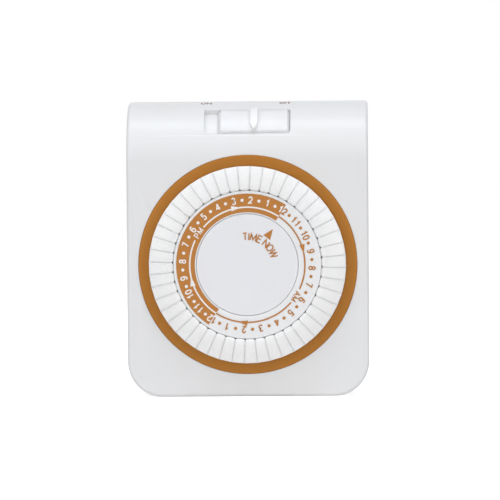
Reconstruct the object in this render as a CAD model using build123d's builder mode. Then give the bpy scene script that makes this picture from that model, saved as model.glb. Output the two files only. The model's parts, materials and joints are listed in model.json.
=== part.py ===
from build123d import *
import os
from math import acos, cos, pi, radians, sin, tan

# A plug-in 24-hour timer switch with 48 half-hour tabs, in millimetres.
# +Z is up and the dial faces -Y. The origin lies midway between the two plug blades, on the
# flat back face, and "depth" always means the distance in front of that face, along -Y.
# Dial angles are clockwise from the top, as seen from the front.

os.makedirs("parts", exist_ok=True)

# ---- Clearances ----------------------------------------------------------------------------
close_fit = 0.03              # radial, a pin held in its hole
seat_fit = 0.05               # radial, a piece set in its seat
running_clearance = 0.06      # radial, gears on their shafts
slot_fit = 0.15               # each side, a blade or a web in its slot
loose_fit = 0.3               # each side, where nothing needs guiding
stack_gap = 0.8               # between the layers of the gear train
overcut = 1.0                 # how far a cut runs past the face it opens
merge = 0.1                   # how far one block of a piece runs into the next
screw_runout = 0.5            # a screw's hole beyond its tip

# ---- Housing -------------------------------------------------------------------------------
housing_width = 67.0
housing_height = 82.0
housing_depth = 34.0
wall = 2.0
rear_depth = 14.0             # parting line of the two shells
blade_height = 50.0           # bottom face up to the blades' centreline
top_roll_radius = 17.0        # the front face rolls over into the top face
bottom_corner_radius = 9.7
edge_radius = 1.0             # front and side edges
parting_groove = 0.4          # square groove round the rear cover at the parting line
screw_boss_radius = 3.2
screw_radius = 1.35
screw_head_radius = 2.5
screw_head_thickness = 1.8
screw_head_depth = 8.0        # how deep the heads sit in the back
screw_grip = 6.0              # length in the front shell's bosses
top_screw_inset = 5.8         # from the side and top faces to the upper screws

# ---- Dial well, bezel and hub --------------------------------------------------------------
dial_height = 36.6            # bottom face up to the dial's axis
well_depth = 5.5              # from the front face to the floor of the well
well_radius = 28.9
well_wall = 1.6
bezel_outer_radius = 30.35
bezel_inner_radius = 26.9
bezel_proud = 0.3
bezel_thickness = 1.3
post_radius = 6.0
post_bore_radius = 3.5
cap_radius = 14.05
cap_stem_length = 5.0
cap_edge = 0.25
rim_chamfer = 0.2             # printed ring and bezel

# ---- Dial ----------------------------------------------------------------------------------
tab_count = 48
tabs_per_hour = 2
tab_outer_radius = 27.2
tab_inner_radius = 20.55
tab_gap = 0.1                 # between neighbouring heads
tab_ring_gap = 0.15           # from the heads to the printed ring
tab_travel = 2.6
tab_proud = 5.2               # a tab's crest in front of the housing's front face
tab_slope_radius = 12.8       # the crest bends away towards the rim
tab_flat = 1.0                # length of the crest before it bends
tab_nose = 0.5                # height of the rounded inner end
tab_corner = 0.35
tab_lip_thickness = 0.6
tab_skirt_length = 2.2
tab_skirt_thickness = 0.8
tab_skirt_inset = 0.7         # from the head's outer end
tab_tail_length = 2.5
tab_tail_width = 1.8
tab_web = 1.2
number_ring_proud = 4.8
number_ring_inner_radius = 14.2
number_ring_thickness = 1.4
hour_zero_angle = 213.3       # where the printed midnight mark stands
seam_offset = -1.2            # the tab seams stand this far from the printed marks
dial_running_clearance = 0.08
rim_gap = 0.6                 # from the slotted rim to the tabs' skirts
rim_height = 2.1
slot_depth = 1.7
hub_wall = 2.1
web_thickness = 2.0
web_setback = 1.0             # behind the printed ring
drum_wall = 1.1
drum_gap = 0.5                # drum and clutch wheel to the well's floor

# ---- Gear train: printed day to motor turn is 6 x 5 x 4 = 120 to 1 ---------------------------
dial_teeth, dial_module = 48, 0.875
drive_teeth = 8
clutch_teeth, clutch_module = 40, 0.72
layshaft_teeth = 8
second_teeth, second_module = 32, 0.75
motor_teeth = 8
pressure_angle = 20.0
gear_backlash = 0.10
root_merge = 0.02             # the teeth start this far inside the root disc
pinion_root, pinion_tip = 1.2, 0.85      # in modules, from the pitch circle
wheel_root, wheel_tip = 1.1, 0.8
drive_direction = 225.0       # from the dial's axis, counter-clockwise from +X
layshaft_direction = 110.0    # from the drive pinion's axis
motor_direction = 20.0        # from the layshaft's axis
pinion_step = 0.2             # the pinions' ends past the wheels they mesh with, or short of them
shaft_radius = 1.5
shaft_end_radius = 1.0
axle_radius = 0.8
axle_chamfer = 0.15
clutch_wheel_thickness = 1.6
second_wheel_thickness = 1.4
clutch_boss_radius = 3.2
spring_radius = 4.0
spring_thickness = 0.22
gear_plate_thickness = 1.0
plate_post_radius = 2.2
plate_screw_radius = 0.9
plate_screw_grip = 3.5
plate_edge = 3.0              # round each screw of the plate
layshaft_post = (102.0, 17.9)            # direction and distance from the layshaft's axis
drive_posts = ((17.0, 19.8), (-55.0, 19.4))   # the same, from the drive pinion's axis
motor_radius = 14.5
motor_length = 11.4
motor_edge = 0.9
motor_shaft_radius = 1.2
motor_shaft_offset = 9.0
motor_turn = 187.0            # direction of the motor's axis past the motor shaft's own
motor_flange = 1.0
motor_ear = 3.0               # from the can to an ear's screw
motor_ear_direction = 45.0
motor_ear_radius = 2.8
motor_screw_radius = 1.1
small_head_thickness = 1.2
small_head_overhang = 0.9     # the small screws' heads beyond their shanks
lead_radius = 0.7

# ---- Mode slider on the rolled edge --------------------------------------------------------
slot_width = 24.0
slot_low_angle = 27.5         # measured round the roll, from the front face upwards
slot_high_angle = 58.5
slot_recess = 1.4
slider_width = 20.0
slider_gap = 0.2
slider_end_gap = 0.1          # at each end of its travel
slider_side_angle = 0.4       # clearance above and below, round the roll
slider_proud = 0.15
slider_corner_radius = 1.1
slider_bevel = 0.9
grip_height = 1.1
grip_width = 2.1
grip_inset = 0.4
grip_taper = 0.3              # where the sides start to close in, in half-heights below the middle
grip_bulge = 0.72             # half-width midway from there to the point, over the full half-width
pad_thickness = 1.7           # the shell behind the slot
pad_margin = 2.0
pad_margin_angle = 6.0
stem_width = 5.0
stem_half_angle = 3.5
stem_side_angle = 1.5
foot_width = 9.0
foot_half_angle = 9.0
foot_thickness = 1.3

# ---- Switch --------------------------------------------------------------------------------
trip_angle = 32.1             # the lever's nose waits between two tab tails
nose_radius_on_dial = 26.2
nose_gap = 0.7                # behind the raised tabs' tails
nose_width, nose_length = 0.8, 1.6
nose_window_side = 0.7        # round the nose, across its travel
nose_window_length = 3.8
nose_window_drop = 0.3
lever_arm = 12.0
lever_pivot_depth = 26.8
lever_width = 3.2
lever_thickness = 1.2
lever_foot = 1.2              # below the nose
lever_neck = 5.8              # above the nose
lever_boss_radius = 2.0
lever_root_front = 0.8        # the arm where it meets the boss, from the pivot
lever_root_back = 1.6
lever_pin_radius = 1.0
pad_below_pivot = 7.7
pad_height = 1.2
pad_flare = 0.2
pad_gap = 0.5                 # to the contact leaf
ear_thickness = 1.6
ear_height = 6.0
ear_reach = 3.0               # behind the pivot
contact_width = 5.0
contact_gap = 1.0
contact_radius = 1.6
contact_thickness = 0.55
leaf_thickness = 0.4
leaf_standoff = 1.2           # from the leaf to the pad's tip plane
leaf_root = 11.0              # above the outlet's slots
leaf_seat = 0.2               # from the leaf's lower end down to the plate it stands on
contact_drop = 0.35           # the contacts below the middle of nose and pad
hot_strip_rise = 1.5          # the hot strip's bend above the leaf's tip

# ---- Plug and outlet (125 V, 15 A, grounded) -------------------------------------------------
blade_spacing = 12.7
blade_width = 6.35
blade_thickness = 1.52
blade_length = 17.5
blade_bevel = 0.45
blade_hole_radius = 1.6
blade_hole_inset = 5.8        # from the tip
tang_width = 3.0
rivet_height = 0.4
ground_offset = 11.9          # below the blades' centreline
ground_radius = 2.38
ground_length = 20.6
ground_neck_radius = 1.9
ground_head_radius = 3.0
ground_seat = 1.0             # depth of the shoulder in the back wall
ground_shoulder_radius = 2.1  # of the part that sits in the back wall
strip = 0.8                   # thickness of the brass strips
outlet_drop = 14.0            # plug blades' centreline down to the outlet slots' centreline
outlet_width = 20.0
outlet_height = 30.0
outlet_centre_drop = 6.0      # slots' centreline down to the face's centre
outlet_corner = 3.0
outlet_edge = 0.4
outlet_flange = 1.5           # inside the wall, all round the face
outlet_flange_thickness = 1.2
outlet_slot = 2.0
hot_slot_length = 7.05
neutral_slot_length = 8.55
ground_hole_radius = 2.6
clip_gap = 0.3                # from the outlet face to the clips' mouths
clip_length = 16.0
clip_leaf = 0.6
clip_opening = 1.6
clip_flare = 0.6
clip_mouth = 1.2
clip_height = 6.0
ground_clip_wall = 0.63
ground_strip_width = 6.4
bus_drop = 2.0                # from the blade's lower edge to the neutral bus
bus_width = 3.2

# ---- Worked-out places ---------------------------------------------------------------------
bottom_z = -blade_height
top_z = housing_height - blade_height
dial_z = bottom_z + dial_height
half_width = housing_width / 2
roll_depth = housing_depth - top_roll_radius
roll_z = top_z - top_roll_radius
roll_centre = (0, -roll_depth, roll_z)

well_floor = housing_depth - well_depth
floor_back = well_floor - wall
bezel_face = housing_depth + bezel_proud
bezel_seat = bezel_face - bezel_thickness
ring_face = housing_depth + number_ring_proud
ring_seat = ring_face - number_ring_thickness
ring_outer_radius = tab_inner_radius - tab_ring_gap
cap_seat = ring_seat - merge
tab_crest = housing_depth + tab_proud
tab_lip = bezel_face + tab_travel + loose_fit
tab_head_back = tab_lip - tab_lip_thickness
tab_skirt_end = tab_head_back - tab_skirt_length
tab_tail_end = tab_skirt_end - tab_tail_length
tab_skirt_outer = tab_outer_radius - tab_skirt_inset
tab_skirt_inner = tab_skirt_outer - tab_skirt_thickness
rim_radius = tab_skirt_inner - rim_gap
rim_front = tab_head_back - tab_travel - loose_fit
rim_back = rim_front - rim_height
slot_root_radius = rim_radius - slot_depth

wheel_front = floor_back - drum_gap
wheel_back = wheel_front - clutch_wheel_thickness
second_front = wheel_back - stack_gap
second_back = second_front - second_wheel_thickness
plate_front = second_back - stack_gap
plate_back = plate_front - gear_plate_thickness
motor_back = plate_back - motor_length

drive_pitch = drive_teeth * dial_module / 2
dial_pitch = dial_teeth * dial_module / 2
clutch_pitch = clutch_teeth * clutch_module / 2
layshaft_pitch = layshaft_teeth * clutch_module / 2
second_pitch = second_teeth * second_module / 2
motor_pitch = motor_teeth * second_module / 2


def step_from(start, direction, distance):
    """The point (x, z) that lies at a distance and a counter-clockwise direction from start."""
    return (start[0] + distance * cos(radians(direction)),
            start[1] + distance * sin(radians(direction)))


dial_centre = (0.0, dial_z)
drive_centre = step_from(dial_centre, drive_direction, dial_pitch - drive_pitch)
layshaft_centre = step_from(drive_centre, layshaft_direction, clutch_pitch + layshaft_pitch)
motor_shaft = step_from(layshaft_centre, motor_direction, second_pitch + motor_pitch)
motor_centre = step_from(motor_shaft, motor_direction + motor_turn, motor_shaft_offset)
plate_posts = [step_from(layshaft_centre, *layshaft_post),
               step_from(drive_centre, *drive_posts[0]),
               step_from(drive_centre, *drive_posts[1])]
motor_ears = [step_from(motor_centre, motor_ear_direction, motor_radius + motor_ear),
              step_from(motor_centre, motor_ear_direction + 180, motor_radius + motor_ear)]

nose = step_from(dial_centre, 90 - trip_angle, nose_radius_on_dial)
lever_x, nose_z = nose
lever_pivot_z = nose_z + lever_arm
nose_tip = tab_tail_end - nose_gap
ear_gap = lever_width / 2 + loose_fit

outlet_depth = rear_depth
outlet_z = -outlet_drop
outlet_centre_z = outlet_z - outlet_centre_drop
outlet_ground_z = outlet_z - ground_offset
flange_front = half_width - wall - merge
flange_back = flange_front - outlet_flange_thickness
clip_front_x = flange_back - clip_gap
clip_back_x = clip_front_x - clip_length
clip_half = (clip_opening + clip_leaf) / 2

low_inset = bottom_corner_radius
screw_places = [(half_width - top_screw_inset, top_z - top_screw_inset),
                (-half_width + top_screw_inset, top_z - top_screw_inset),
                (half_width - low_inset, bottom_z + low_inset),
                (-half_width + low_inset, bottom_z + low_inset)]


def facing(depth, x=0.0, z=0.0):
    """A plane parallel to the front face at a depth: its x is +X, its y is +Z, out is forwards."""
    return Plane(origin=(x, -depth, z), x_dir=(1, 0, 0), z_dir=(0, -1, 0))


def turning(centre):
    """The plane of a profile that turns about an axis along Y: its x is the radius, its y the depth."""
    return Plane(origin=(centre[0], 0, centre[1]), x_dir=(1, 0, 0), z_dir=(0, 0, -1))


def turning_axis(centre):
    """The axis along Y through a centre (x, z)."""
    return Axis((centre[0], 0, centre[1]), (0, -1, 0))


# ---- Forms that more than one piece uses -----------------------------------------------------
def housing_form(inset):
    """The closed outside of the housing, drawn in by inset on every side."""
    half = half_width - inset
    low, high = bottom_z + inset, top_z - inset
    front = housing_depth - inset
    roll = top_roll_radius - inset
    with BuildPart() as form:
        with BuildSketch(Plane.YZ):
            with BuildLine():
                Polyline((-front, high - roll), (-front, low), (-inset, low), (-inset, high),
                         (-front + roll, high))
                CenterArc((-front + roll, high - roll), roll, 90, 90)
            make_face()
        extrude(amount=half, both=True)
        with BuildSketch(Plane.XZ) as outline:
            with Locations((0, (low + high) / 2)):
                Rectangle(2 * half, high - low)
            fillet(outline.vertices().group_by(Axis.Y)[0], bottom_corner_radius - inset)
        extrude(amount=front, mode=Mode.INTERSECT)
        if inset < edge_radius:
            front_face = form.faces().sort_by(Axis.Y)[0]
            rim = front_face.edges().filter_by(lambda e: e.center().Z < high - roll - 0.01)
            circles = form.edges().filter_by(GeomType.CIRCLE)
            side_arcs = circles.filter_by(lambda e: abs(e.radius - roll) < 0.001)
            top_sides = form.faces().sort_by(Axis.Z)[-1].edges().filter_by(Axis.Y)
            fillet(rim + side_arcs + top_sides, edge_radius - inset)
    return form.part


def roll_block(x_low, x_high, radius_low, radius_high, angle_low, angle_high, corner=0.0):
    """A block curved about the axis of the rolled edge, with its two lower corners rounded."""
    up, forward = sin(radians(angle_low)), cos(radians(angle_low))
    start = Plane(origin=roll_centre, x_dir=(1, 0, 0), z_dir=(0, -up, -forward))
    with BuildPart() as block:
        with BuildSketch(start):
            with Locations(((x_low + x_high) / 2, (radius_low + radius_high) / 2)):
                Rectangle(x_high - x_low, radius_high - radius_low)
        revolve(axis=Axis(roll_centre, (-1, 0, 0)), revolution_arc=angle_high - angle_low)
        if corner:
            radial = Axis(roll_centre, (0, -forward, up))
            fillet(block.edges().filter_by(radial).group_by(Axis.Z)[0], corner)
    return block.part


def outlet_window(margin):
    """Draws the outlet face's outline in the open sketch on a side plane, grown by a margin."""
    with Locations((-outlet_depth, outlet_centre_z)):
        RectangleRounded(outlet_width + 2 * margin, outlet_height + 2 * margin, outlet_corner + margin)


def tooth_half_width(radius, teeth, module, backlash):
    """Half the thickness of an involute tooth at a radius; below the base circle it is radial."""
    pitch = teeth * module / 2
    base = pitch * cos(radians(pressure_angle))
    angle_here = acos(base / max(radius, base))
    involute_here = tan(angle_here) - angle_here
    involute_pitch = tan(radians(pressure_angle)) - radians(pressure_angle)
    half_angle = (pi * module / 2 - backlash) / (2 * pitch) + involute_pitch - involute_here
    return radius * sin(max(half_angle, 0.01))


def gear_face(teeth, module, first_angle, radii):
    """Draws an external gear in the open sketch: a root disc, and teeth through the given radii."""
    widths = [tooth_half_width(radius, teeth, module, gear_backlash) for radius in radii]
    right = [(radius, -width) for radius, width in zip(radii, widths)]
    left = [(radius, width) for radius, width in zip(reversed(radii), reversed(widths))]
    Circle(radii[0] + root_merge)
    with PolarLocations(0, teeth, start_angle=first_angle):
        Polygon(*right, *left, align=None)


def pinion_face(teeth, module, first_angle):
    """A small gear, whose flanks bend at the pitch circle."""
    pitch = teeth * module / 2
    gear_face(teeth, module, first_angle, [pitch - pinion_root * module, pitch, pitch + pinion_tip * module])


def wheel_face(teeth, module, first_angle):
    """A large gear, whose flanks are straight."""
    pitch = teeth * module / 2
    gear_face(teeth, module, first_angle, [pitch - wheel_root * module, pitch + wheel_tip * module])


whole_outside = housing_form(0)
whole_inside = housing_form(wall)
half_wall_form = housing_form(wall / 2)

# The slider's slot and the slider's place in it: it rests against the slot's right end.
slot_floor_radius = top_roll_radius - slot_recess
pad_inner_radius = slot_floor_radius - pad_thickness
slot_middle_angle = (slot_low_angle + slot_high_angle) / 2
slider_travel = slot_width - slider_width - 2 * slider_end_gap
slider_right = slot_width / 2 - slider_end_gap
slider_middle = slider_right - slider_width / 2
foot_outer_radius = pad_inner_radius - loose_fit
foot_inner_radius = foot_outer_radius - foot_thickness
slot_cut = roll_block(-slot_width / 2, slot_width / 2, slot_floor_radius, top_roll_radius + 2 * overcut,
                      slot_low_angle, slot_high_angle, slider_corner_radius)
slot_pad = roll_block(-slot_width / 2 - pad_margin, slot_width / 2 + pad_margin, pad_inner_radius,
                      top_roll_radius - wall / 4, slot_low_angle - pad_margin_angle,
                      slot_high_angle + pad_margin_angle)
stem_slot = roll_block(slider_middle - slider_travel - stem_width / 2 - loose_fit,
                       slider_middle + stem_width / 2 + loose_fit, pad_inner_radius - overcut,
                       top_roll_radius, slot_middle_angle - stem_half_angle - stem_side_angle,
                       slot_middle_angle + stem_half_angle + stem_side_angle)

# ---- front_housing: rolled shell, dial well, hub post, bosses, lever ears and gear plate posts --
with BuildPart() as front_works:
    with BuildSketch(facing(floor_back, *dial_centre)):
        Circle(well_radius + well_wall)
    extrude(amount=housing_depth - floor_back)
    with BuildSketch(facing(rear_depth)):
        with Locations(*screw_places):
            Circle(screw_boss_radius)
    extrude(amount=housing_depth - rear_depth)
    with BuildSketch(facing(plate_front)):
        with Locations(*plate_posts):
            Circle(plate_post_radius)
    extrude(amount=floor_back - plate_front)
    with BuildSketch(facing(lever_pivot_depth - ear_reach, lever_x, lever_pivot_z)):
        ear_middle = ear_gap + ear_thickness / 2
        with Locations((ear_middle, 0), (-ear_middle, 0)):
            Rectangle(ear_thickness, ear_height)
    extrude(amount=housing_depth - lever_pivot_depth + ear_reach)
    add(slot_pad)
    add(half_wall_form, mode=Mode.INTERSECT)

with BuildPart() as front_housing:
    add(whole_outside)
    split(bisect_by=Plane.XZ.offset(rear_depth), keep=Keep.TOP)
    add(whole_inside, mode=Mode.SUBTRACT)
    add(front_works.part)
    with BuildSketch(Plane.YZ.offset(flange_back - slot_fit)):
        outlet_window(outlet_flange + slot_fit)
    extrude(amount=outlet_flange_thickness + slot_fit, mode=Mode.SUBTRACT)
    with BuildSketch(facing(well_floor, *dial_centre)):
        Circle(well_radius)
    extrude(amount=well_depth + overcut, mode=Mode.SUBTRACT)
    with BuildSketch(facing(bezel_seat, *dial_centre)):
        Circle(bezel_outer_radius + seat_fit)
    extrude(amount=bezel_thickness + overcut, mode=Mode.SUBTRACT)
    with BuildSketch(facing(well_floor, *dial_centre)):
        Circle(post_radius)
    extrude(amount=cap_seat - well_floor)
    with BuildSketch(facing(floor_back - overcut, *dial_centre)):
        Circle(post_bore_radius)
    extrude(amount=cap_seat - floor_back + 2 * overcut, mode=Mode.SUBTRACT)
    add(slot_cut, mode=Mode.SUBTRACT)
    add(stem_slot, mode=Mode.SUBTRACT)
    with BuildSketch(facing(floor_back - overcut)):
        with Locations(drive_centre):
            Circle(shaft_radius + running_clearance)
        with Locations(step_from(nose, -90, nose_window_drop)):
            Rectangle(nose_width + 2 * nose_window_side, nose_window_length, rotation=-trip_angle)
    extrude(amount=wall + 2 * overcut, mode=Mode.SUBTRACT)
    with BuildSketch(facing(floor_back - wall / 4, *layshaft_centre)):
        Circle(axle_radius + close_fit)
    extrude(amount=wall * 3 / 4, mode=Mode.SUBTRACT)
    with BuildSketch(facing(plate_front)):
        with Locations(*plate_posts):
            Circle(plate_screw_radius + seat_fit)
    extrude(amount=plate_screw_grip + screw_runout, mode=Mode.SUBTRACT)
    with BuildSketch(facing(rear_depth)):
        with Locations(*screw_places):
            Circle(screw_radius + seat_fit)
    extrude(amount=screw_grip + screw_runout, mode=Mode.SUBTRACT)
    with BuildSketch(Plane.YZ.offset(lever_x)):
        with Locations((-lever_pivot_depth, lever_pivot_z)):
            Circle(lever_pin_radius + close_fit)
    extrude(amount=ear_gap + ear_thickness * 3 / 4, both=True, mode=Mode.SUBTRACT)
    with BuildSketch(Plane.YZ.offset(half_width - wall - overcut)):
        outlet_window(slot_fit)
    extrude(amount=wall + 2 * overcut, mode=Mode.SUBTRACT)
front_housing.part.label = "front_housing"
export_step(front_housing.part, "parts/front_housing.step")

# ---- rear_cover: back shell with blade slots, deep screw wells and a parting groove --------------
with BuildPart() as rear_works:
    with BuildSketch(facing(wall / 2)):
        with Locations(*screw_places):
            Circle(screw_boss_radius)
    extrude(amount=rear_depth - wall / 2)
    add(half_wall_form, mode=Mode.INTERSECT)

with BuildPart() as groove_core:
    add(housing_form(parting_groove))
    split(bisect_by=Plane.XZ.offset(rear_depth), keep=Keep.BOTTOM)

with BuildPart() as groove_band:
    with BuildSketch(facing(rear_depth - parting_groove)):
        with Locations((0, (top_z + bottom_z) / 2)):
            Rectangle(housing_width + 2 * overcut, housing_height + 2 * overcut)
    extrude(amount=parting_groove)
    add(groove_core.part, mode=Mode.SUBTRACT)

with BuildPart() as rear_cover:
    add(whole_outside)
    split(bisect_by=Plane.XZ.offset(rear_depth), keep=Keep.BOTTOM)
    add(whole_inside, mode=Mode.SUBTRACT)
    add(rear_works.part)
    add(groove_band.part, mode=Mode.SUBTRACT)
    with BuildSketch(facing(-overcut)):
        with Locations((-blade_spacing / 2, 0), (blade_spacing / 2, 0)):
            Rectangle(blade_thickness + 2 * slot_fit, blade_width + 2 * slot_fit)
        with Locations((0, -ground_offset)):
            Circle(ground_neck_radius + seat_fit)
        with Locations(*screw_places):
            Circle(screw_radius + loose_fit)
    extrude(amount=rear_depth + 2 * overcut, mode=Mode.SUBTRACT)
    with BuildSketch(facing(-overcut)):
        with Locations(*screw_places):
            Circle(screw_head_radius + loose_fit)
    extrude(amount=screw_head_depth + overcut, mode=Mode.SUBTRACT)
    with BuildSketch(facing(-overcut, 0, -ground_offset)):
        Circle(ground_radius + seat_fit)
    extrude(amount=ground_seat + overcut, mode=Mode.SUBTRACT)
    with BuildSketch(Plane.YZ.offset(half_width - wall - overcut)):
        outlet_window(slot_fit)
    extrude(amount=wall + 2 * overcut, mode=Mode.SUBTRACT)
rear_cover.part.label = "rear_cover"
export_step(rear_cover.part, "parts/rear_cover.step")

# ---- dial_bezel: flat coloured ring in the rim of the well ---------------------------------------
with BuildPart() as dial_bezel:
    with BuildSketch(facing(bezel_seat, *dial_centre)):
        Circle(bezel_outer_radius)
        Circle(bezel_inner_radius, mode=Mode.SUBTRACT)
    extrude(amount=bezel_thickness)
    chamfer(dial_bezel.faces().sort_by(Axis.Y)[0].edges(), rim_chamfer)
dial_bezel.part.label = "dial_bezel"
export_step(dial_bezel.part, "parts/dial_bezel.step")

# ---- centre_cap: fixed disc with a stem in the hub post ------------------------------------------
with BuildPart() as centre_cap:
    with BuildSketch(facing(cap_seat, *dial_centre)):
        Circle(cap_radius)
    extrude(amount=ring_face - merge - cap_seat)
    chamfer(centre_cap.faces().sort_by(Axis.Y)[0].edges(), cap_edge)
    with BuildSketch(facing(cap_seat - cap_stem_length, *dial_centre)):
        Circle(post_bore_radius - seat_fit)
    extrude(amount=cap_stem_length)
centre_cap.part.label = "centre_cap"
export_step(centre_cap.part, "parts/centre_cap.step")

# ---- number_ring: printed face of the dial -------------------------------------------------------
with BuildPart() as number_ring:
    with BuildSketch(facing(ring_seat, *dial_centre)):
        Circle(ring_outer_radius)
        Circle(number_ring_inner_radius, mode=Mode.SUBTRACT)
    extrude(amount=number_ring_thickness)
    outer_rim = number_ring.faces().sort_by(Axis.Y)[0].edges().sort_by(SortBy.RADIUS)[-1]
    chamfer(outer_rim, rim_chamfer)
number_ring.part.label = "number_ring"
export_step(number_ring.part, "parts/number_ring.step")

# ---- tab_carrier: hub, web, slotted rim and internal gear of the dial ----------------------------
carrier_wall_radius = ring_outer_radius - seat_fit
carrier_bore_radius = number_ring_inner_radius - merge
hub_bore_radius = post_radius + dial_running_clearance
hub_radius = post_radius + hub_wall
gear_root_radius = dial_pitch + wheel_root * dial_module
gear_tip_radius = dial_pitch - wheel_tip * dial_module
drum_radius = gear_root_radius + drum_wall
drum_middle = gear_root_radius + drum_wall / 2
drum_back = well_floor + drum_gap
web_front = ring_seat - web_setback
web_back = web_front - web_thickness
rim_joint = rim_back + stack_gap
space_radii = [gear_tip_radius - loose_fit, gear_root_radius]
space_widths = [tooth_half_width(radius, dial_teeth, dial_module, -gear_backlash) for radius in space_radii]
first_tab = 90 - hour_zero_angle - seam_offset + 180 / tab_count
with BuildPart() as tab_carrier:
    with BuildSketch(turning(dial_centre)):
        with BuildLine():
            Polyline((hub_bore_radius, well_floor + loose_fit), (hub_radius, well_floor + loose_fit),
                     (hub_radius, web_back), (gear_tip_radius - drum_wall, web_back),
                     (gear_tip_radius - drum_wall, rim_joint), (drum_middle, rim_joint),
                     (drum_middle, rim_back), (rim_radius, rim_back), (rim_radius, rim_front),
                     (carrier_wall_radius, rim_front), (carrier_wall_radius, ring_seat),
                     (carrier_bore_radius, ring_seat), (carrier_bore_radius, web_front),
                     (hub_bore_radius, web_front), close=True)
        make_face()
    revolve(axis=turning_axis(dial_centre))
    with BuildSketch(facing(drum_back, *dial_centre)):
        Circle(drum_radius)
        Circle(gear_tip_radius, mode=Mode.SUBTRACT)
        with PolarLocations(0, dial_teeth, start_angle=drive_direction):
            Polygon((space_radii[0], -space_widths[0]), (space_radii[1], -space_widths[1]),
                    (space_radii[1], space_widths[1]), (space_radii[0], space_widths[0]),
                    align=None, mode=Mode.SUBTRACT)
    extrude(amount=rim_joint - drum_back)
    with BuildSketch(facing(rim_back - overcut, *dial_centre)):
        with PolarLocations(slot_root_radius, tab_count, start_angle=first_tab):
            Rectangle(rim_radius, tab_web + 2 * slot_fit, align=(Align.MIN, Align.CENTER))
    extrude(amount=rim_height + 2 * overcut, mode=Mode.SUBTRACT)
tab_carrier.part.label = "tab_carrier"
export_step(tab_carrier.part, "parts/tab_carrier.step")

# ---- tabs: 48 push tabs, two to an hour, each a crowned head with a skirt, a web and a tail ------
tab_pitch = 360 / tab_count
head_half_in = tab_inner_radius * tan(radians(tab_pitch / 2)) - tab_gap / 2
head_half_out = tab_outer_radius * tan(radians(tab_pitch / 2)) - tab_gap / 2
slope_start = tab_inner_radius + tab_flat
slope_middle = (slope_start + tab_outer_radius) / 2
web_start = slot_root_radius + slot_fit
web_end = tab_skirt_inner + merge
tail_top = tab_tail_end + loose_fit


def crest_depth(radius):
    """The depth of a tab's crest at a radius, on the arc that bends away towards the rim."""
    run = radius - slope_start
    return tab_crest - tab_slope_radius + (tab_slope_radius ** 2 - run ** 2) ** 0.5


with BuildPart() as one_tab:
    with BuildSketch(turning((0, 0))):
        with BuildLine():
            Polyline((slope_start, tab_crest),
                     (tab_inner_radius + tab_nose * 2 / 3, tab_crest - tab_nose / 4),
                     (tab_inner_radius, tab_crest - tab_nose), (tab_inner_radius, tab_head_back),
                     (tab_skirt_inner, tab_head_back), (tab_skirt_inner, tab_skirt_end),
                     (tab_skirt_outer, tab_skirt_end), (tab_skirt_outer, tab_lip),
                     (tab_outer_radius, tab_lip), (tab_outer_radius, crest_depth(tab_outer_radius)))
            ThreePointArc((tab_outer_radius, crest_depth(tab_outer_radius)),
                          (slope_middle, crest_depth(slope_middle)), (slope_start, tab_crest))
        make_face()
    extrude(amount=head_half_out, both=True)
    with BuildSketch(facing(tab_tail_end - overcut)) as wedge:
        Polygon((tab_inner_radius, -head_half_in), (tab_outer_radius, -head_half_out),
                (tab_outer_radius, head_half_out), (tab_inner_radius, head_half_in), align=None)
        chamfer(wedge.vertices().group_by(Axis.X)[0], tab_corner)
    extrude(amount=tab_crest - tab_tail_end + 2 * overcut, mode=Mode.INTERSECT)
    with BuildSketch(facing(tail_top)):
        with Locations((web_start, 0)):
            Rectangle(web_end - web_start, tab_web, align=(Align.MIN, Align.CENTER))
    extrude(amount=tab_head_back - tail_top + merge)
    with BuildSketch(facing(tab_tail_end)):
        with Locations((tab_skirt_inner, 0)):
            Rectangle(tab_skirt_thickness, tab_tail_width, align=(Align.MIN, Align.CENTER))
    extrude(amount=tab_tail_length + merge)

for hour in range(tab_count // tabs_per_hour):
    hour_angle = hour_zero_angle + seam_offset - hour * tab_pitch * tabs_per_hour
    with BuildPart() as tab_pair:
        for place in range(tabs_per_hour):
            tab_angle = 90 - hour_angle + (place + 0.5) * tab_pitch
            add(one_tab.part.rotate(Axis.Y, -tab_angle).translate((0, 0, dial_z)))
    tab_pair.part.label = f"tabs_hour_{hour:02d}"
    export_step(tab_pair.part, f"parts/tabs_hour_{hour:02d}.step")

# ---- drive_pinion: turns the dial, on the shaft that the clutch wheel slips on -------------------
pinion_back = drum_back + pinion_step
pinion_front = rim_joint - loose_fit
with BuildPart() as drive_pinion:
    with BuildSketch(facing(pinion_back, *drive_centre)):
        pinion_face(drive_teeth, dial_module, drive_direction)
    extrude(amount=pinion_front - pinion_back)
    with BuildSketch(facing(plate_front + loose_fit, *drive_centre)):
        Circle(shaft_radius)
    extrude(amount=pinion_back - plate_front)
    with BuildSketch(facing(plate_back, *drive_centre)):
        Circle(shaft_end_radius)
    extrude(amount=gear_plate_thickness + 2 * loose_fit)
drive_pinion.part.label = "drive_pinion"
export_step(drive_pinion.part, "parts/drive_pinion.step")

# ---- clutch_wheel: large wheel with a boss, held to the drive shaft by friction ------------------
with BuildPart() as clutch_wheel:
    with BuildSketch(facing(wheel_back, *drive_centre)):
        wheel_face(clutch_teeth, clutch_module, layshaft_direction)
    extrude(amount=wheel_front - wheel_back)
    with BuildSketch(facing(wheel_back, *drive_centre)):
        Circle(clutch_boss_radius)
    extrude(amount=wheel_front - wheel_back + loose_fit)
    with BuildSketch(facing(wheel_back - overcut, *drive_centre)):
        Circle(shaft_radius + running_clearance)
    extrude(amount=clutch_wheel_thickness + 3 * overcut, mode=Mode.SUBTRACT)
clutch_wheel.part.label = "clutch_wheel"
export_step(clutch_wheel.part, "parts/clutch_wheel.step")

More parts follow.
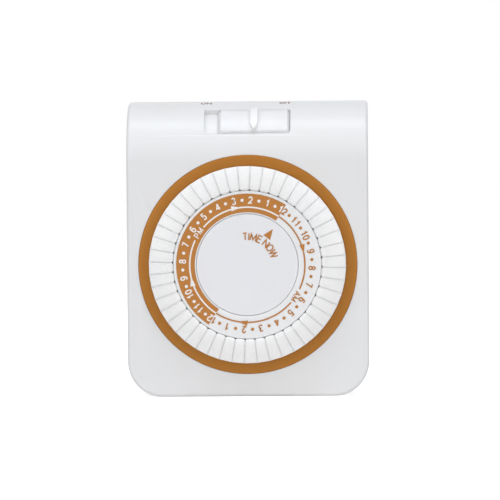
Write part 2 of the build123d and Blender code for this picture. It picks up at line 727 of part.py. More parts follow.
# ---- clutch_spring: dished washer on the drive shaft, behind the clutch wheel --------------------
spring_hole = shaft_radius + close_fit
spring_high = wheel_back - slot_fit
spring_low = second_front + slot_fit
with BuildPart() as clutch_spring:
    with BuildSketch(turning(drive_centre)):
        with BuildLine():
            Polyline((spring_hole, spring_low), (spring_radius, spring_high - spring_thickness),
                     (spring_radius, spring_high), (spring_hole, spring_low + spring_thickness), close=True)
        make_face()
    revolve(axis=turning_axis(drive_centre))
clutch_spring.part.label = "clutch_spring"
export_step(clutch_spring.part, "parts/clutch_spring.step")

# ---- layshaft_gear: wheel and pinion in one moulding ---------------------------------------------
with BuildPart() as layshaft_gear:
    with BuildSketch(facing(second_back, *layshaft_centre)):
        wheel_face(second_teeth, second_module, motor_direction)
    extrude(amount=second_front - second_back)
    with BuildSketch(facing(second_front, *layshaft_centre)):
        pinion_face(layshaft_teeth, clutch_module, layshaft_direction + 180 + 180 / layshaft_teeth)
    extrude(amount=wheel_front - second_front)
    with BuildSketch(facing(second_back - overcut, *layshaft_centre)):
        Circle(axle_radius + running_clearance)
    extrude(amount=wheel_front - second_back + 2 * overcut, mode=Mode.SUBTRACT)
layshaft_gear.part.label = "layshaft_gear"
export_step(layshaft_gear.part, "parts/layshaft_gear.step")

# ---- layshaft_axle: steel pin between the gear plate and the well's floor ------------------------
with BuildPart() as layshaft_axle:
    with BuildSketch(facing(plate_back, *layshaft_centre)):
        Circle(axle_radius)
    extrude(amount=floor_back + wall / 2 - plate_back)
    chamfer(layshaft_axle.edges().filter_by(GeomType.CIRCLE), axle_chamfer)
layshaft_axle.part.label = "layshaft_axle"
export_step(layshaft_axle.part, "parts/layshaft_axle.step")

# ---- motor_pinion: on the geared motor's output shaft --------------------------------------------
with BuildPart() as motor_pinion:
    with BuildSketch(facing(second_back - pinion_step, *motor_shaft)):
        pinion_face(motor_teeth, second_module, motor_direction + 180 + 180 / motor_teeth)
    extrude(amount=second_wheel_thickness + 2 * pinion_step)
    with BuildSketch(facing(plate_back + loose_fit, *motor_shaft)):
        Circle(motor_shaft_radius)
    extrude(amount=second_back - plate_back - loose_fit)
motor_pinion.part.label = "motor_pinion"
export_step(motor_pinion.part, "parts/motor_pinion.step")

# ---- gear_plate: carries the rear ends of the shafts, and the motor ------------------------------
with BuildPart() as gear_plate:
    with BuildSketch(facing(plate_back)):
        with Locations(*plate_posts, *motor_ears):
            Circle(plate_edge)
        make_hull()
        with Locations(motor_shaft):
            Circle(motor_pitch + 2 * second_module, mode=Mode.SUBTRACT)
        with Locations(drive_centre):
            Circle(shaft_end_radius + running_clearance, mode=Mode.SUBTRACT)
        with Locations(layshaft_centre):
            Circle(axle_radius + close_fit, mode=Mode.SUBTRACT)
        with Locations(*plate_posts):
            Circle(plate_screw_radius + seat_fit, mode=Mode.SUBTRACT)
        with Locations(*motor_ears):
            Circle(motor_screw_radius + seat_fit, mode=Mode.SUBTRACT)
    extrude(amount=gear_plate_thickness)
gear_plate.part.label = "gear_plate"
export_step(gear_plate.part, "parts/gear_plate.step")

# ---- motor_can: sealed synchronous motor with its reduction gear ---------------------------------
with BuildPart() as motor_can:
    with BuildSketch(facing(motor_back, *motor_centre)):
        Circle(motor_radius)
    extrude(amount=motor_length)
    chamfer(motor_can.faces().sort_by(Axis.Y)[-1].edges(), motor_edge)
    with BuildSketch(facing(plate_back - motor_flange)):
        with Locations(*motor_ears):
            Circle(motor_ear_radius)
        make_hull()
        with Locations(*motor_ears):
            Circle(motor_screw_radius + seat_fit, mode=Mode.SUBTRACT)
    extrude(amount=motor_flange)
motor_can.part.label = "motor_can"
export_step(motor_can.part, "parts/motor_can.step")

# ---- screws --------------------------------------------------------------------------------------
with BuildPart() as housing_screws:
    with BuildSketch(facing(screw_head_depth)):
        with Locations(*screw_places):
            Circle(screw_radius)
    extrude(amount=rear_depth + screw_grip - screw_head_depth)
    with BuildSketch(facing(screw_head_depth - screw_head_thickness)):
        with Locations(*screw_places):
            Circle(screw_head_radius)
    extrude(amount=screw_head_thickness)
housing_screws.part.label = "housing_screws"
export_step(housing_screws.part, "parts/housing_screws.step")

with BuildPart() as plate_screws:
    with BuildSketch(facing(plate_back)):
        with Locations(*plate_posts):
            Circle(plate_screw_radius)
    extrude(amount=gear_plate_thickness + plate_screw_grip)
    with BuildSketch(facing(plate_back - small_head_thickness)):
        with Locations(*plate_posts):
            Circle(plate_screw_radius + small_head_overhang)
    extrude(amount=small_head_thickness)
plate_screws.part.label = "plate_screws"
export_step(plate_screws.part, "parts/plate_screws.step")

ear_back = plate_back - motor_flange
with BuildPart() as motor_screws:
    with BuildSketch(facing(ear_back)):
        with Locations(*motor_ears):
            Circle(motor_screw_radius)
    extrude(amount=motor_flange + gear_plate_thickness + loose_fit)
    with BuildSketch(facing(ear_back - small_head_thickness)):
        with Locations(*motor_ears):
            Circle(motor_screw_radius + small_head_overhang)
    extrude(amount=small_head_thickness)
motor_screws.part.label = "motor_screws"
export_step(motor_screws.part, "parts/motor_screws.step")

# ---- mode_slider: curved plate with a teardrop grip, a stem and a retaining foot -----------------
slider_inner_radius = slot_floor_radius + slider_gap
slider_outer_radius = top_roll_radius + slider_proud
slider_low_angle = slot_low_angle + slider_side_angle
slider_high_angle = slot_high_angle - slider_side_angle
slider_half_angle = (slider_high_angle - slider_low_angle) / 2
slider_plate = roll_block(slider_right - slider_width, slider_right, slider_inner_radius,
                          slider_outer_radius, slider_low_angle, slider_high_angle,
                          slider_corner_radius)
slider_stem = roll_block(slider_middle - stem_width / 2, slider_middle + stem_width / 2,
                         (foot_inner_radius + foot_outer_radius) / 2, slider_inner_radius + merge,
                         slot_middle_angle - stem_half_angle, slot_middle_angle + stem_half_angle)
slider_foot = roll_block(slider_middle - foot_width / 2, slider_middle + foot_width / 2,
                         foot_inner_radius, foot_outer_radius,
                         slot_middle_angle - foot_half_angle, slot_middle_angle + foot_half_angle)
slider_grip = roll_block(slider_middle - grip_width, slider_middle + grip_width,
                         slider_outer_radius - loose_fit, slider_outer_radius + grip_height,
                         slider_low_angle, slider_high_angle)
grip_out = (0, -cos(radians(slot_middle_angle)), sin(radians(slot_middle_angle)))
grip_half = top_roll_radius * sin(radians(slider_half_angle)) - grip_inset
grip_point = (slider_middle, -grip_half)
grip_side = grip_width / 2
grip_start = -grip_half * grip_taper
grip_bend = -grip_half * (1 + grip_taper) / 2
with BuildPart() as grip_block:
    with BuildSketch(Plane(origin=roll_centre, x_dir=(1, 0, 0), z_dir=grip_out)):
        with BuildLine():
            Polyline((slider_middle + grip_side, grip_start), (slider_middle + grip_side, grip_half),
                     (slider_middle - grip_side, grip_half), (slider_middle - grip_side, grip_start))
            ThreePointArc((slider_middle - grip_side, grip_start),
                          (slider_middle - grip_side * grip_bulge, grip_bend), grip_point)
            ThreePointArc(grip_point, (slider_middle + grip_side * grip_bulge, grip_bend),
                          (slider_middle + grip_side, grip_start))
        make_face()
    extrude(amount=top_roll_radius + 2 * grip_height)
    add(slider_grip, mode=Mode.INTERSECT)

with BuildPart() as mode_slider:
    add(slider_plate)
    left_edge = mode_slider.faces().sort_by(Axis.X)[0].edges().filter_by(
        lambda e: e.geom_type == GeomType.CIRCLE and abs(e.radius - slider_outer_radius) < 0.01)
    chamfer(left_edge, slider_bevel)
    add(slider_stem)
    add(slider_foot)
    add(grip_block.part)
mode_slider.part.label = "mode_slider"
export_step(mode_slider.part, "parts/mode_slider.step")

# ---- trip_lever: rides the tab tails and pushes the moving contact -------------------------------
lever_front = floor_back - loose_fit
lever_back = lever_front - lever_thickness
leaf_front = lever_back - pad_gap - leaf_standoff
leaf_back = leaf_front - leaf_thickness
pad_z = lever_pivot_z - pad_below_pivot
with BuildPart() as trip_lever:
    with BuildSketch(Plane.YZ.offset(lever_x)):
        with BuildLine():
            Polyline((-lever_front, nose_z - lever_foot), (-lever_front, nose_z + lever_neck),
                     (-lever_pivot_depth - lever_root_front, lever_pivot_z - lever_boss_radius / 2),
                     (-lever_pivot_depth + lever_root_back, lever_pivot_z - lever_boss_radius / 2),
                     (-lever_back, nose_z + lever_neck), (-lever_back, pad_z + pad_height / 2 + pad_flare),
                     (-leaf_front - pad_gap, pad_z + pad_height / 2),
                     (-leaf_front - pad_gap, pad_z - pad_height / 2),
                     (-lever_back, pad_z - pad_height / 2 - pad_flare), (-lever_back, nose_z - lever_foot),
                     close=True)
        make_face()
        with Locations((-lever_pivot_depth, lever_pivot_z)):
            Circle(lever_boss_radius)
            Circle(lever_pin_radius + running_clearance, mode=Mode.SUBTRACT)
    extrude(amount=lever_width / 2, both=True)
    with BuildSketch(facing(lever_back + merge, *nose)):
        Rectangle(nose_width, nose_length, rotation=-trip_angle)
    extrude(amount=nose_tip - lever_back - merge)
trip_lever.part.label = "trip_lever"
export_step(trip_lever.part, "parts/trip_lever.step")

with BuildPart() as lever_pin:
    with BuildSketch(Plane.YZ.offset(lever_x)):
        with Locations((-lever_pivot_depth, lever_pivot_z)):
            Circle(lever_pin_radius)
    extrude(amount=ear_gap + ear_thickness * 2 / 3, both=True)
lever_pin.part.label = "lever_pin"
export_step(lever_pin.part, "parts/lever_pin.step")

# ---- contact_arm: spring leaf with the moving contact --------------------------------------------
leaf_root_z = outlet_z + leaf_root
leaf_top_z = pad_z + contact_radius
contact_z = (pad_z + nose_z) / 2 - contact_drop
button_face = leaf_back - contact_thickness
with BuildPart() as contact_arm:
    with BuildSketch(facing(leaf_back)):
        with Locations((lever_x, (leaf_root_z + leaf_top_z) / 2)):
            Rectangle(contact_width, leaf_top_z - leaf_root_z)
    extrude(amount=leaf_thickness)
    with BuildSketch(facing(button_face, lever_x, contact_z)):
        Circle(contact_radius)
    extrude(amount=contact_thickness)
contact_arm.part.label = "contact_arm"
export_step(contact_arm.part, "parts/contact_arm.step")


# ---- Plug blades, each riveted through a brass strip -----------------------------------------------
def plug_blade(x):
    """A flat plug blade with a bevelled tip, a cross hole and a rivet tang, from the tang outwards."""
    with BuildPart() as blade:
        with BuildSketch(Plane.YZ.offset(x)):
            with Locations(((blade_length - wall) / 2, 0)):
                Rectangle(blade_length + wall, blade_width)
            with Locations((blade_length - blade_hole_inset, 0)):
                Circle(blade_hole_radius, mode=Mode.SUBTRACT)
        extrude(amount=blade_thickness / 2, both=True)
        chamfer(blade.faces().sort_by(Axis.Y)[-1].edges(), blade_bevel)
        with BuildSketch(facing(wall, x)):
            Rectangle(blade_thickness, tang_width)
        extrude(amount=strip + rivet_height)
    return blade.part


def tang_hole(x):
    """Cuts a strip's slot for the blade's tang out of the open sketch."""
    with Locations((x, 0)):
        Rectangle(blade_thickness + 2 * close_fit, tang_width + 2 * close_fit, mode=Mode.SUBTRACT)


hot_x, neutral_x = blade_spacing / 2, -blade_spacing / 2
strip_low, strip_high = lever_x - contact_width / 2, lever_x + contact_width / 2
fixed_back = button_face - contact_gap - contact_thickness - strip
arm_top_z = leaf_top_z + hot_strip_rise

hot_blade = plug_blade(hot_x)
hot_blade.label = "hot_blade"
export_step(hot_blade, "parts/hot_blade.step")

neutral_blade = plug_blade(neutral_x)
neutral_blade.label = "neutral_blade"
export_step(neutral_blade, "parts/neutral_blade.step")

# ---- hot_strip: from the hot blade up and over to the fixed contact --------------------------------
middle = strip / 2
with BuildPart() as hot_strip:
    with BuildSketch(facing(wall)):
        with Locations((hot_x - blade_width / 2, -blade_width / 2)):
            Rectangle(strip_high - hot_x + blade_width / 2, blade_width, align=Align.MIN)
        tang_hole(hot_x)
    extrude(amount=strip)
    with BuildSketch(Plane.YZ.offset(strip_low)):
        with BuildLine():
            Polyline((-wall - middle, 0), (-wall - middle, arm_top_z + middle),
                     (-fixed_back - middle, arm_top_z + middle),
                     (-fixed_back - middle, contact_z - contact_radius - middle))
        trace(line_width=strip)
    extrude(amount=contact_width)
    with BuildSketch(facing(fixed_back + strip, lever_x, contact_z)):
        Circle(contact_radius)
    extrude(amount=contact_thickness)
hot_strip.part.label = "hot_strip"
export_step(hot_strip.part, "parts/hot_strip.step")

# ---- neutral_strip: from the neutral blade under the motor to the outlet ---------------------------
bus_high = -blade_width / 2 - bus_drop
bus_low = bus_high - bus_width
bus_x = clip_back_x - 2 * strip
with BuildPart() as neutral_strip:
    with BuildSketch(facing(wall)):
        with Locations((neutral_x, bus_low)):
            Rectangle(blade_width, blade_width / 2 - bus_low, align=(Align.CENTER, Align.MIN))
        tang_hole(neutral_x)
    extrude(amount=strip)
    with BuildSketch(Plane.XY.offset(bus_low)):
        with BuildLine():
            Polyline((neutral_x, -wall - middle), (bus_x, -wall - middle),
                     (bus_x, -outlet_depth - blade_spacing / 2),
                     (clip_back_x - clip_leaf / 2, -outlet_depth - blade_spacing / 2))
        trace(line_width=strip)
    extrude(amount=bus_width)
neutral_strip.part.label = "neutral_strip"
export_step(neutral_strip.part, "parts/neutral_strip.step")

# ---- ground_pin: shouldered round pin, its neck riveted over the strap -----------------------------
rivet_top = wall + strip + 2 * rivet_height
with BuildPart() as ground_pin:
    with BuildSketch(turning((0, -ground_offset))):
        with BuildLine():
            Polyline((0, rivet_top), (ground_head_radius, rivet_top),
                     (ground_head_radius, wall + strip), (ground_neck_radius, wall + strip),
                     (ground_neck_radius, ground_seat), (ground_shoulder_radius, ground_seat),
                     (ground_shoulder_radius, 0), (ground_radius, 0),
                     (ground_radius, -ground_length + ground_radius))
            CenterArc((0, -ground_length + ground_radius), ground_radius, 0, -90)
            Line((0, -ground_length), (0, rivet_top))
        make_face()
    revolve(axis=turning_axis((0, -ground_offset)))
ground_pin.part.label = "ground_pin"
export_step(ground_pin.part, "parts/ground_pin.step")

with BuildPart() as ground_strap:
    with BuildSketch(facing(wall)):
        with BuildLine():
            Polyline((0, -ground_offset + ground_strip_width / 2), (0, outlet_ground_z),
                     (clip_back_x, outlet_ground_z))
        trace(line_width=ground_strip_width)
        with Locations((0, -ground_offset)):
            Circle(ground_neck_radius + seat_fit, mode=Mode.SUBTRACT)
    extrude(amount=strip)
    with BuildSketch(facing(wall)):
        with Locations((clip_back_x - strip, outlet_ground_z)):
            Rectangle(strip, ground_strip_width, align=(Align.MIN, Align.CENTER))
    extrude(amount=outlet_depth + ground_strip_width / 2 - wall)
ground_strap.part.label = "ground_strap"
export_step(ground_strap.part, "parts/ground_strap.step")


# ---- Outlet clips and face -----------------------------------------------------------------------
def clip_outline(depth):
    """Draws a U-shaped spring clip with a flared mouth in the open sketch, seen from above."""
    mouth_x = clip_front_x - clip_mouth
    with BuildLine() as spring:
        Polyline((clip_front_x, -depth + clip_half + clip_flare), (mouth_x, -depth + clip_half),
                 (clip_back_x, -depth + clip_half), (clip_back_x, -depth - clip_half),
                 (mouth_x, -depth - clip_half), (clip_front_x, -depth - clip_half - clip_flare))
    trace(spring.line, line_width=clip_leaf)


def clip_riser(depth):
    """Draws the section of a clip's back web, which rises to the strip or plate above it."""
    with Locations((clip_back_x, -depth)):
        Rectangle(clip_leaf, 2 * clip_half + clip_leaf)


hot_depth = outlet_depth - blade_spacing / 2
neutral_depth = outlet_depth + blade_spacing / 2
plate_z = leaf_root_z - leaf_seat
plate_right = max(strip_high, clip_back_x + clip_leaf / 2)
with BuildPart() as hot_clip:
    with BuildSketch(Plane.XY.offset(outlet_z - clip_height / 2)):
        clip_outline(hot_depth)
    extrude(amount=clip_height)
    with BuildSketch(Plane.XY.offset(outlet_z)):
        clip_riser(hot_depth)
    extrude(amount=plate_z - outlet_z)
    with BuildSketch(Plane.XY.offset(plate_z)):
        with Locations((strip_low, -hot_depth + clip_half)):
            Rectangle(plate_right - strip_low, leaf_back - slot_fit - hot_depth + clip_half,
                      align=(Align.MIN, Align.MAX))
    extrude(amount=strip)
hot_clip.part.label = "hot_clip"
export_step(hot_clip.part, "parts/hot_clip.step")

with BuildPart() as neutral_clip:
    with BuildSketch(Plane.XY.offset(outlet_z - clip_height / 2)):
        clip_outline(neutral_depth)
    extrude(amount=clip_height)
    with BuildSketch(Plane.XY.offset(outlet_z)):
        clip_riser(neutral_depth)
    extrude(amount=bus_high - outlet_z)
neutral_clip.part.label = "neutral_clip"
export_step(neutral_clip.part, "parts/neutral_clip.step")

with BuildPart() as ground_clip:
    with BuildSketch(Plane.YZ.offset(clip_back_x)):
        with Locations((-outlet_depth, outlet_ground_z)):
            Circle(ground_hole_radius + ground_clip_wall)
            Circle(ground_hole_radius, mode=Mode.SUBTRACT)
    extrude(amount=clip_length)
ground_clip.part.label = "ground_clip"
export_step(ground_clip.part, "parts/ground_clip.step")

with BuildPart() as outlet_face:
    with BuildSketch(Plane.YZ.offset(flange_back)):
        outlet_window(outlet_flange)
    extrude(amount=outlet_flange_thickness)
    with BuildSketch(Plane.YZ.offset(flange_back)):
        outlet_window(0)
    extrude(amount=half_width - flange_back)
    chamfer(outlet_face.faces().sort_by(Axis.X)[-1].edges(), outlet_edge)
    with BuildSketch(Plane.YZ.offset(flange_back - overcut)):
        with Locations((-hot_depth, outlet_z)):
            Rectangle(outlet_slot, hot_slot_length)
        with Locations((-neutral_depth, outlet_z)):
            Rectangle(outlet_slot, neutral_slot_length)
        with Locations((-outlet_depth, outlet_ground_z)):
            Circle(ground_hole_radius)
    extrude(amount=half_width, mode=Mode.SUBTRACT)
outlet_face.part.label = "outlet_face"
export_step(outlet_face.part, "parts/outlet_face.step")

# ---- motor_leads: two short insulated wires from the motor's back to the brass strips ---------------
strip_top_y = -wall - strip
lead_z = -tang_width / 2 - 2 * lead_radius
neutral_lead = [(neutral_x, -motor_back, lead_z), (neutral_x, strip_top_y, lead_z)]
hot_lead = [(-3 * lead_radius, -motor_back, lead_z), (hot_x - tang_width / 2, strip_top_y, lead_z)]
with BuildPart() as motor_leads:
    for route in (neutral_lead, hot_lead):
        with BuildLine() as lead_path:
            Line(*route)
        with BuildSketch(Plane(origin=route[0], z_dir=(0, 1, 0))):
            Circle(lead_radius)
        sweep(path=lead_path.line)
motor_leads.part.label = "motor_leads"
export_step(motor_leads.part, "parts/motor_leads.step")
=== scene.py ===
import json
from math import atan2, cos, hypot, pi, radians, sin

import bmesh
import bpy
from mathutils import Matrix, Vector


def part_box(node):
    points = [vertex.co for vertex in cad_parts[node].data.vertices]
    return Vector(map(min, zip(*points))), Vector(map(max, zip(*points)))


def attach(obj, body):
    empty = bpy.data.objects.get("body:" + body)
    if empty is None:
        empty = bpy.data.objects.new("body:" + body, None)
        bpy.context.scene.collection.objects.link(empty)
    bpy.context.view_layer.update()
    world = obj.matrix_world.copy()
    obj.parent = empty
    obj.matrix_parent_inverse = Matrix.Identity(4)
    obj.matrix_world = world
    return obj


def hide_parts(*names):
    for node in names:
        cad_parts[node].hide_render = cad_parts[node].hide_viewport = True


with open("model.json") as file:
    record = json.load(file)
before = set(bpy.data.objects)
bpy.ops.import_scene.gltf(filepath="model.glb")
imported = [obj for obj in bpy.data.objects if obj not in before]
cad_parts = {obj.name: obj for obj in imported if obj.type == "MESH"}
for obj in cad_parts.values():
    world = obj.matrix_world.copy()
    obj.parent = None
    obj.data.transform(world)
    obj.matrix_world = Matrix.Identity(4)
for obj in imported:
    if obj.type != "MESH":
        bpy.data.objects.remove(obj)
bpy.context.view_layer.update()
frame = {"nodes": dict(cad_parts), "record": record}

MM = 0.001

# ---- Places read from the frame --------------------------------------------------------------
ring_low, ring_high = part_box("number_ring")
cap_low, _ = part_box("centre_cap")
bezel_low, bezel_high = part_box("dial_bezel")
housing_low, housing_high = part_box("front_housing")
dial_z = (ring_low.z + ring_high.z) / 2
ring_face = -ring_low.y
cap_face = -cap_low.y
top_z = housing_high.z
bottom_z = housing_low.z
bezel_proud = 0.3 * MM                       # from the front face to the bezel's
front_depth = -bezel_low.y - bezel_proud
roll_radius = 17.0 * MM                      # of the edge where the front face rolls into the top
roll_depth = front_depth - roll_radius
slot_half_width = 12.0 * MM
slider_low, slider_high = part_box("mode_slider")
slider_slope = 0.9 * MM                      # width of the slopes along the slider's edges
slider_proud = 0.15 * MM                     # from the rolled edge to the slider's outer face
slider_radius = roll_radius + slider_proud

# ---- The printed dial, in millimetres and degrees clockwise from the top ---------------------
hours = 24
hour_step = 360.0 / hours
midnight = 213.3
noon = midnight - 180.0
print_lift = 0.012 * MM                      # from a face to the print on it
stroke_lift, arrow_lift = 0.002, 0.004       # between layers of print that cross
band_inner, band_outer = 14.5, 19.65
digit_radius, digit_height, digit_weight, digit_spacing = 17.9, 2.08, 0.36, 4.6
dot_radius_on_dial, dot_radius, dot_offset = 17.86, 0.44, 7.5
line_radius, line_width = 15.9, 0.42
word_radius, word_height, word_weight, word_spacing, word_gap = 16.0, 1.7, 0.27, 5.8, 7.8
arrow_length, arrow_width = 2.6, 1.5
white_arrows, orange_arrows = (353.8, 258.3), (79.3, 189.5)
time_now_radius, time_now_height, time_now_weight = 7.8, 2.25, 0.35
time_now = (("T", -4.0), ("I", 3.6), ("M", 12.9), ("E", 25.7),
            ("N", 41.6), ("O", 53.6), ("W", 67.6))
switch_height, switch_weight, switch_angle = 2.0, 0.34, 15.0
# Each word by the slider: how far it is squeezed, and where its letters stand across the case.
switch_words = (("ON", 1.0, (-12.33, -10.73)), ("OFF", 0.8, (9.45, 10.67, 11.73)))
pointer_angle, pointer_tip, pointer_base, pointer_width = 36.0, 12.15, 9.25, 2.3

# ---- The tabs, and the round edges beside them -----------------------------------------------
tab_pitch = radians(7.5)
seam_offset = 1.2                            # degrees from a printed hour back to a seam
tab_start = radians(midnight - seam_offset)
tab_inner = 20.55 * MM
tab_side = 1.0 * MM                          # past this from a tab's middle is its side
tab_widen = 0.04 * MM
crest_depth = 1.5 * MM                       # what lies this near the ring's face is a tab's crest
# Each node's round edges that move: (radius, how far outwards).
round_edges = {"number_ring": ((20.40 * MM, 0.05 * MM), (14.20 * MM, -0.04 * MM)),
               "centre_cap": ((14.05 * MM, 0.04 * MM),)}

# ---- How near counts as being on a surface, a side or an edge --------------------------------
surface_tolerance, side_tolerance, edge_tolerance = 0.03 * MM, 0.02 * MM, 0.01 * MM


# ---- Meshes ----------------------------------------------------------------------------------
def add_object(name, mesh, body, slot, material):
    """Puts a mesh in the scene as a piece that rides on a body."""
    piece = bpy.data.objects.new(name, mesh)
    bpy.context.scene.collection.objects.link(piece)
    mesh.materials.clear()
    mesh.materials.append(material)
    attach(piece, body)
    return piece


class Flat:
    """Flat patches of print gathered into one mesh. A patch's points are (right, up) in mm."""

    def __init__(self):
        self.points, self.faces = [], []

    def add(self, points, faces, place, lift=0.0):
        first = len(self.points)
        self.points += [place(*p, lift) for p in points]
        self.faces += [[first + i for i in face] for face in faces]

    def build(self, name, body, slot, material):
        mesh = bpy.data.meshes.new(name)
        mesh.from_pydata(self.points, [], self.faces)
        mesh.validate()
        return add_object(name, mesh, body, slot, material)


def on_dial(radius, clockwise, face):
    """Maps (right, up) round a spot on the dial, whose up is outwards, onto a face at a depth."""
    turn = radians(clockwise)
    right, up = Vector((cos(turn), 0, -sin(turn))), Vector((sin(turn), 0, cos(turn)))

    def place(x, y, lift):
        spot = right * x + up * (radius + y)
        return (spot.x * MM, -face - print_lift - lift * MM, dial_z + spot.z * MM)
    return place


def on_roll(x_middle, angle_from_top):
    """Maps (right, up) onto the rolled edge round a spot, x in mm and the angle in degrees."""
    def place(x, y, lift):
        radius = roll_radius + print_lift + lift * MM
        turn = radians(angle_from_top) - y * MM / roll_radius
        return ((x_middle + x) * MM, -roll_depth - radius * sin(turn),
                top_z - roll_radius + radius * cos(turn))
    return place


def bend(x, y, rx, ry, start, end, count=14):
    """Points along an ellipse about (x, y), from one angle to another."""
    turns = [radians(start + (end - start) * i / count) for i in range(count + 1)]
    return [(x + rx * cos(t), y + ry * sin(t)) for t in turns]


def loop(x, y, rx, ry):
    """A closed ellipse: its last point is its first."""
    return bend(x, y, rx, ry, 90, 450, 28)


# Each character: its width over its height, and its strokes' middle lines in a unit square.
GLYPHS = {
    "0": (0.60, [loop(0.5, 0.5, 0.5, 0.5)]),
    "1": (0.38, [[(0, 0.74), (0.45, 0.80), (1, 1), (1, 0)]]),
    "2": (0.58, [bend(0.5, 0.70, 0.5, 0.30, 172, -38) + [(0, 0), (1, 0)]]),
    "3": (0.58, [bend(0.47, 0.76, 0.44, 0.24, 160, -90) + bend(0.47, 0.26, 0.53, 0.26, 90, -160)]),
    "4": (0.62, [[(0.74, 0), (0.74, 1)], [(0.74, 1), (0, 0.27), (1.06, 0.27)]]),
    "5": (0.58, [[(0.92, 1), (0.16, 1), (0.04, 0.48)] + bend(0.47, 0.32, 0.53, 0.32, 140, -155)]),
    "6": (0.58, [loop(0.5, 0.31, 0.5, 0.31), bend(0.58, 0.46, 0.58, 0.54, 48, 190)]),
    "7": (0.56, [[(0, 1), (1, 1), (0.34, 0)]]),
    "8": (0.58, [loop(0.5, 0.76, 0.43, 0.24), loop(0.5, 0.26, 0.5, 0.26)]),
    "9": (0.58, [loop(0.5, 0.69, 0.5, 0.31), bend(0.42, 0.54, 0.58, 0.54, 228, 370)]),
    "A": (0.78, [[(0, 0), (0.5, 1), (1, 0)], [(0.18, 0.3), (0.82, 0.3)]]),
    "E": (0.62, [[(1, 1), (0, 1), (0, 0), (1, 0)], [(0, 0.52), (0.88, 0.52)]]),
    "F": (0.60, [[(1, 1), (0, 1), (0, 0)], [(0, 0.5), (0.84, 0.5)]]),
    "I": (0.20, [[(0.5, 0), (0.5, 1)]]),
    "M": (0.84, [[(0, 0), (0, 1), (0.5, 0.12), (1, 1), (1, 0)]]),
    "N": (0.72, [[(0, 0), (0, 1), (1, 0), (1, 1)]]),
    "O": (0.78, [loop(0.5, 0.5, 0.5, 0.5)]),
    "P": (0.64, [[(0, 0), (0, 1)] + bend(0.55, 0.73, 0.45, 0.27, 90, -90) + [(0, 0.46)]]),
    "T": (0.62, [[(0, 1), (1, 1)], [(0.5, 1), (0.5, 0)]]),
    "W": (1.00, [[(0, 1), (0.25, 0), (0.5, 1), (0.75, 0), (1, 1)]]),
}


def band_faces(count):
    """The faces of a band whose points run across it in pairs."""
    return [[2 * i, 2 * i + 1, 2 * i + 3, 2 * i + 2] for i in range(count)]


def stroke(line, width, bluntest=0.42):
    """A band of a width along a line, mitred at its corners: its points and faces."""
    spots = [Vector(p) for p in line]
    closed = (spots[0] - spots[-1]).length < 0.001
    points = []
    for i, spot in enumerate(spots):
        before = spots[i - 1] if i else spots[-2] if closed else None
        after = spots[i + 1] if i + 1 < len(spots) else spots[1] if closed else None
        ways = [(b - a).normalized() for a, b in ((before, spot), (spot, after))
                if a is not None and b is not None]
        sides = [Vector((-way.y, way.x)) for way in ways]
        across = sum(sides, Vector((0, 0))).normalized()
        reach = width / 2 / max(across.dot(sides[0]), bluntest)
        points += [tuple(spot + across * reach), tuple(spot - across * reach)]
    return points, band_faces(len(line) - 1)


def divided(line, longest):
    """The line with points added until no run is over a length, to follow a curved face."""
    points = [line[0]]
    for (ax, ay), (bx, by) in zip(line, line[1:]):
        parts = max(1, round(hypot(bx - ax, by - ay) / longest + 0.5))
        points += [(ax + (bx - ax) * i / parts, ay + (by - ay) * i / parts)
                   for i in range(1, parts + 1)]
    return points


def write(sheet, character, height, weight, place, squeeze=1.0):
    """Adds a character, centred on a place. Strokes lie a hair apart, so none shades another."""
    aspect, strokes = GLYPHS[character]
    wide, tall = max(aspect * height * squeeze - weight, 0), height - weight
    for layer, line in enumerate(strokes):
        drawn = divided([((x - 0.5) * wide, (y - 0.5) * tall) for x, y in line], longest=0.5)
        sheet.add(*stroke(drawn, weight), place, layer * stroke_lift)


def arc_band(start, end, inner, outer, step=1.5):
    """Points and faces of a band from start to end, degrees clockwise, about the dial's axis."""
    count = max(2, int(abs(end - start) / step))
    turns = [radians(start + (end - start) * i / count) for i in range(count + 1)]
    points = [(radius * sin(turn), radius * cos(turn))
              for turn in turns for radius in (inner, outer)]
    return points, band_faces(count)


def disc(radius, count=24):
    """Points and one face of a disc."""
    turns = [2 * pi * i / count for i in range(count)]
    return [(radius * cos(turn), radius * sin(turn)) for turn in turns], [list(range(count))]


def turned(node, body, slot, material, profile, count=144):
    """A ring about the dial's axis, turned from (radius, depth) in mm. It stands for a node."""
    form = bmesh.new()
    rows = []
    for i in range(count):
        turn = 2 * pi * i / count
        rows.append([form.verts.new((r * MM * sin(turn), -d * MM, dial_z + r * MM * cos(turn)))
                     for r, d in profile])
    for i in range(count):
        here, beside = rows[i], rows[(i + 1) % count]
        for j in range(len(profile)):
            k = (j + 1) % len(profile)
            form.faces.new((here[j], here[k], beside[k], beside[j]))
    bmesh.ops.recalc_face_normals(form, faces=form.faces)
    mesh = bpy.data.meshes.new(node + "_turned")
    form.to_mesh(mesh)
    form.free()
    mesh.shade_smooth()
    mesh.set_sharp_from_angle(angle=radians(40))
    piece = add_object(node + "_turned", mesh, body, slot, material)
    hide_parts(node)


def spoke(vertex):
    """From the roll's axis straight out to a vertex."""
    return Vector((0, vertex.co.y + roll_depth, vertex.co.z - top_z + roll_radius))


def lies_on(spokes, radius):
    """Whether all the spokes end on the surface of a radius about the roll's axis."""
    return all(abs(way.length - radius) < surface_tolerance for way in spokes)


def on_slot_rim(edge):
    """Whether an edge runs up a side of the slider's slot, on the rolled surface."""
    beside = [abs(v.co.x) - slot_half_width for v in edge.verts]
    return (lies_on(map(spoke, edge.verts), roll_radius) and max(map(abs, beside)) < side_tolerance
            and edge.calc_face_angle(0) > radians(40))


